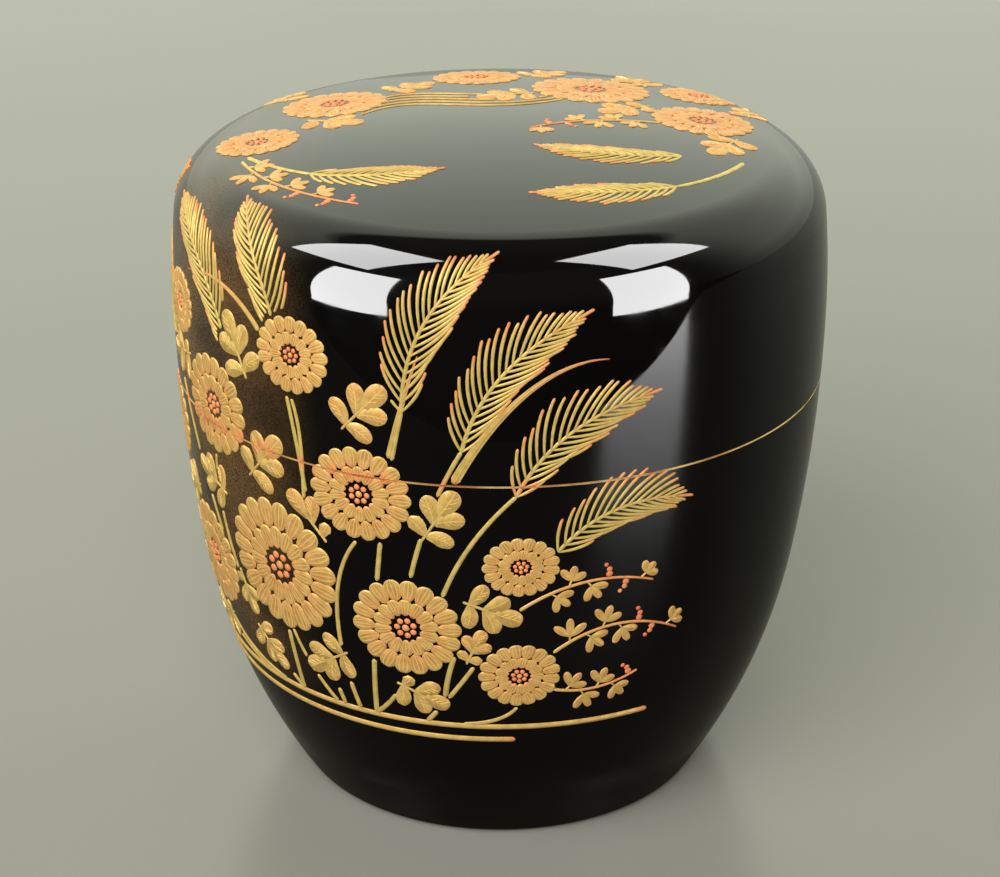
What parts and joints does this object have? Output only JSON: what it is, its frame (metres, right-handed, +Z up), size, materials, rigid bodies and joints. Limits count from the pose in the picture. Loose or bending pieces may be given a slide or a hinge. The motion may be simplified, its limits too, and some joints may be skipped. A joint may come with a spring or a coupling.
{
  "type": "tea caddy",
  "caption": "Round lacquered tea caddy with a deep flush lid over a standing collar, for keeping powdered tea.",
  "frame": {"origin": "middle of the foot, on the surface that the caddy stands on", "axes": "+Z up along the turning axis, -Y out of the front, +X to the right seen from the front"},
  "size_m": [0.066, 0.066, 0.0688],
  "materials": {
    "wood_core": "turned close-grained wood, fully coated",
    "outer_lacquer": "black lacquer polished to a mirror",
    "inner_lacquer": "black lacquer, brushed smooth",
    "gold": "raised gold powder, burnished"
  },
  "bodies": {
    "body": {"body_wood_core": "wood_core", "body_outer_lacquer": "outer_lacquer", "foot_lacquer": "outer_lacquer", "body_inner_lacquer": "inner_lacquer", "body_gold_edge": "gold", "ground_line_lower": "gold", "ground_line_upper": "gold"},
    "lid": {"lid_wood_core": "wood_core", "lid_outer_lacquer": "outer_lacquer", "lid_inner_lacquer": "inner_lacquer", "lid_gold_edge": "gold"}
  },
  "joints": [
    {"name": "lid_lift", "type": "slide", "parent": "body", "child": "lid", "axis": [0, 0, 1], "range_m": [0, 0.045]}
  ]
}
